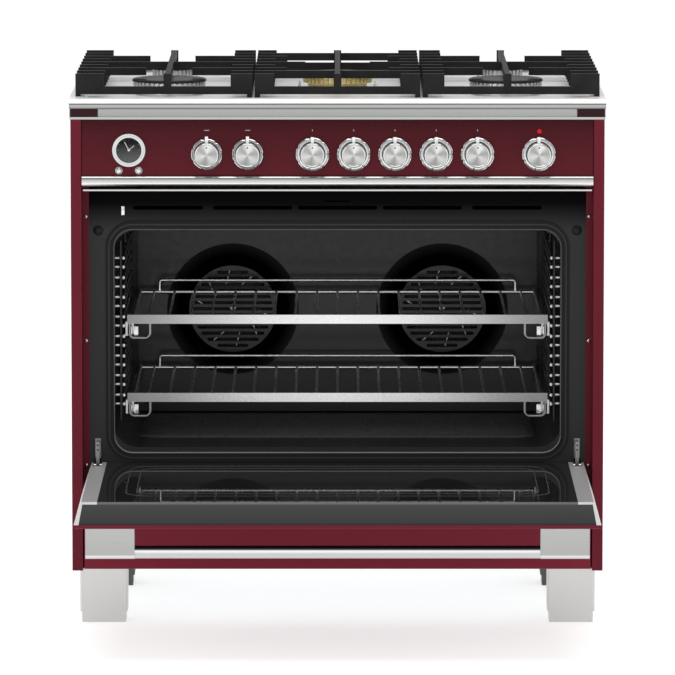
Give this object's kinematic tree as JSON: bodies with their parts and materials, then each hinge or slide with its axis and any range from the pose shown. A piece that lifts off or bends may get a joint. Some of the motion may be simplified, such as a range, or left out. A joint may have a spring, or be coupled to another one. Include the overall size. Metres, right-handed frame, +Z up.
{
  "type": "freestanding gas range",
  "caption": "Freestanding gas range with a stainless hob under cast grates, a wide convection oven with a drop-down door and racks, and a drawer on square legs.",
  "frame": {"origin": "middle of the range's box on the ground, with the oven door open", "axes": "+X to the cook's right, +Y to the back, +Z up"},
  "size_m": [0.911, 1.068, 0.942],
  "materials": {
    "body_paint": "satin burgundy enamel",
    "black_enamel": "speckled gloss enamel",
    "stainless": "brushed",
    "hob_steel": "polished",
    "galvanised": "galvanised sheet",
    "chrome": "polished",
    "wire": "bright wire",
    "cast_iron": "matt enamelled",
    "burner_cap": "satin enamelled",
    "aluminium": "cast",
    "brass": "machined",
    "dark_frame": "satin",
    "inner_glass": "black glass",
    "window_glass": "tinted",
    "gasket": "braided",
    "dial": "printed",
    "lamp": "clear red",
    "knob": "turned",
    "element": "dark sheath",
    "hand": "white"
  },
  "bodies": {
    "range_body": {"side_panel_left": "body_paint", "side_panel_right": "body_paint", "rear_panel": "galvanised", "base_pan": "galvanised", "legs": "stainless", "hob_tray": "hob_steel", "hob_front_trim": "hob_steel", "hob_corner_blocks": "body_paint", "rear_vent_trim": "stainless", "control_fascia": "body_paint", "fascia_trim": "hob_steel", "knob_bezels": "chrome", "clock_case": "chrome", "clock_dial": "dial", "warmer_lamp": "lamp", "gas_manifold": "galvanised", "oven_switches": "dark_frame", "oven_liner": "black_enamel", "oven_front_frame": "black_enamel", "oven_gasket": "gasket", "rear_baffle": "black_enamel", "fan_motors": "galvanised", "oven_elements": "element", "shelf_ladders": "wire", "runner_rails": "stainless", "hinge_claws": "chrome", "burner_caps_front": "burner_cap", "burner_caps_rear": "burner_cap", "burner_cap_centre": "burner_cap", "burner_heads": "aluminium", "burner_head_centre": "brass"},
    "door": {"door_skin": "body_paint", "door_window_glass": "window_glass", "door_frame": "dark_frame", "door_side_strips": "stainless", "door_inner_glass": "inner_glass", "door_hinge_pins": "chrome", "door_handle_brackets": "stainless", "door_handle_bar": "stainless"},
    "drawer": {"drawer_front": "body_paint", "drawer_box": "galvanised"},
    "rack_upper": {"rack_upper": "wire"},
    "rack_lower": {"rack_lower": "wire"},
    "grate_left": {"grate_left": "cast_iron"},
    "grate_centre": {"grate_centre": "cast_iron"},
    "grate_right": {"grate_right": "cast_iron"},
    "oven_fan_left": {"oven_fan_left": "stainless"},
    "oven_fan_right": {"oven_fan_right": "stainless"},
    "clock_hour_hand": {"clock_hour_hand": "hand"},
    "clock_minute_hand": {"clock_minute_hand": "hand"},
    "clock_button_left": {"clock_button_left": "chrome"},
    "clock_button_right": {"clock_button_right": "chrome"},
    "function_knob": {"function_knob": "knob"},
    "temperature_knob": {"temperature_knob": "knob"},
    "burner_knob_1": {"burner_knob_1": "knob"},
    "burner_knob_2": {"burner_knob_2": "knob"},
    "burner_knob_3": {"burner_knob_3": "knob"},
    "burner_knob_4": {"burner_knob_4": "knob"},
    "burner_knob_5": {"burner_knob_5": "knob"},
    "warmer_knob": {"warmer_knob": "knob"}
  },
  "joints": [
    {"name": "door_hinge", "type": "hinge", "parent": "range_body", "child": "door", "pos_m": [0, -0.066, 0.2705], "axis": [1, 0, 0], "range_deg": [-90, 0]},
    {"name": "drawer_slide", "type": "slide", "parent": "range_body", "child": "drawer", "axis": [0, -1, 0], "range_m": [0, 0.3]},
    {"name": "rack_upper_slide", "type": "slide", "parent": "range_body", "child": "rack_upper", "axis": [0, -1, 0], "range_m": [0, 0.3]},
    {"name": "rack_lower_slide", "type": "slide", "parent": "range_body", "child": "rack_lower", "axis": [0, -1, 0], "range_m": [0, 0.3]},
    {"name": "grate_left_lift", "type": "slide", "parent": "range_body", "child": "grate_left", "axis": [0, 0, 1], "range_m": [0, 0.06]},
    {"name": "grate_centre_lift", "type": "slide", "parent": "range_body", "child": "grate_centre", "axis": [0, 0, 1], "range_m": [0, 0.06]},
    {"name": "grate_right_lift", "type": "slide", "parent": "range_body", "child": "grate_right", "axis": [0, 0, 1], "range_m": [0, 0.06]},
    {"name": "function_knob_turn", "type": "hinge", "parent": "range_body", "child": "function_knob", "pos_m": [-0.222, -0.1055, 0.809], "axis": [0, 1, 0], "range_deg": [0, 270]},
    {"name": "temperature_knob_turn", "type": "hinge", "parent": "range_body", "child": "temperature_knob", "pos_m": [-0.1525, -0.1055, 0.809], "axis": [0, 1, 0], "range_deg": [0, 270]},
    {"name": "burner_knob_1_turn", "type": "hinge", "parent": "range_body", "child": "burner_knob_1", "pos_m": [-0.0425, -0.1055, 0.809], "axis": [0, 1, 0], "range_deg": [-220, 0]},
    {"name": "burner_knob_2_turn", "type": "hinge", "parent": "range_body", "child": "burner_knob_2", "pos_m": [0.0275, -0.1055, 0.809], "axis": [0, 1, 0], "range_deg": [-220, 0]},
    {"name": "burner_knob_3_turn", "type": "hinge", "parent": "range_body", "child": "burner_knob_3", "pos_m": [0.0975, -0.1055, 0.809], "axis": [0, 1, 0], "range_deg": [-220, 0]},
    {"name": "burner_knob_4_turn", "type": "hinge", "parent": "range_body", "child": "burner_knob_4", "pos_m": [0.1675, -0.1055, 0.809], "axis": [0, 1, 0], "range_deg": [-220, 0]},
    {"name": "burner_knob_5_turn", "type": "hinge", "parent": "range_body", "child": "burner_knob_5", "pos_m": [0.2375, -0.1055, 0.809], "axis": [0, 1, 0], "range_deg": [-220, 0]},
    {"name": "warmer_knob_turn", "type": "hinge", "parent": "range_body", "child": "warmer_knob", "pos_m": [0.3415, -0.1055, 0.809], "axis": [0, 1, 0], "range_deg": [0, 270]},
    {"name": "oven_fan_left_spin", "type": "hinge", "parent": "range_body", "child": "oven_fan_left", "pos_m": [-0.186, 0.424, 0.486], "axis": [0, 1, 0], "continuous": true},
    {"name": "oven_fan_right_spin", "type": "hinge", "parent": "range_body", "child": "oven_fan_right", "pos_m": [0.186, 0.424, 0.486], "axis": [0, 1, 0], "continuous": true},
    {"name": "clock_minute_hand_turn", "type": "hinge", "parent": "range_body", "child": "clock_minute_hand", "pos_m": [-0.354, -0.106, 0.816], "axis": [0, 1, 0], "continuous": true},
    {"name": "clock_hour_hand_turn", "type": "hinge", "parent": "range_body", "child": "clock_hour_hand", "pos_m": [-0.354, -0.106, 0.816], "axis": [0, 1, 0], "continuous": true},
    {"name": "clock_button_left_press", "type": "slide", "parent": "range_body", "child": "clock_button_left", "axis": [0, 1, 0], "range_m": [0, 0.002], "stiffness_N_per_m": 400, "springref_m": -0.001},
    {"name": "clock_button_right_press", "type": "slide", "parent": "range_body", "child": "clock_button_right", "axis": [0, 1, 0], "range_m": [0, 0.002], "stiffness_N_per_m": 400, "springref_m": -0.001}
  ],
  "couplings": [
    {"joint": "clock_hour_hand_turn", "follows": "clock_minute_hand_turn", "ratio": 0.083333}
  ]
}
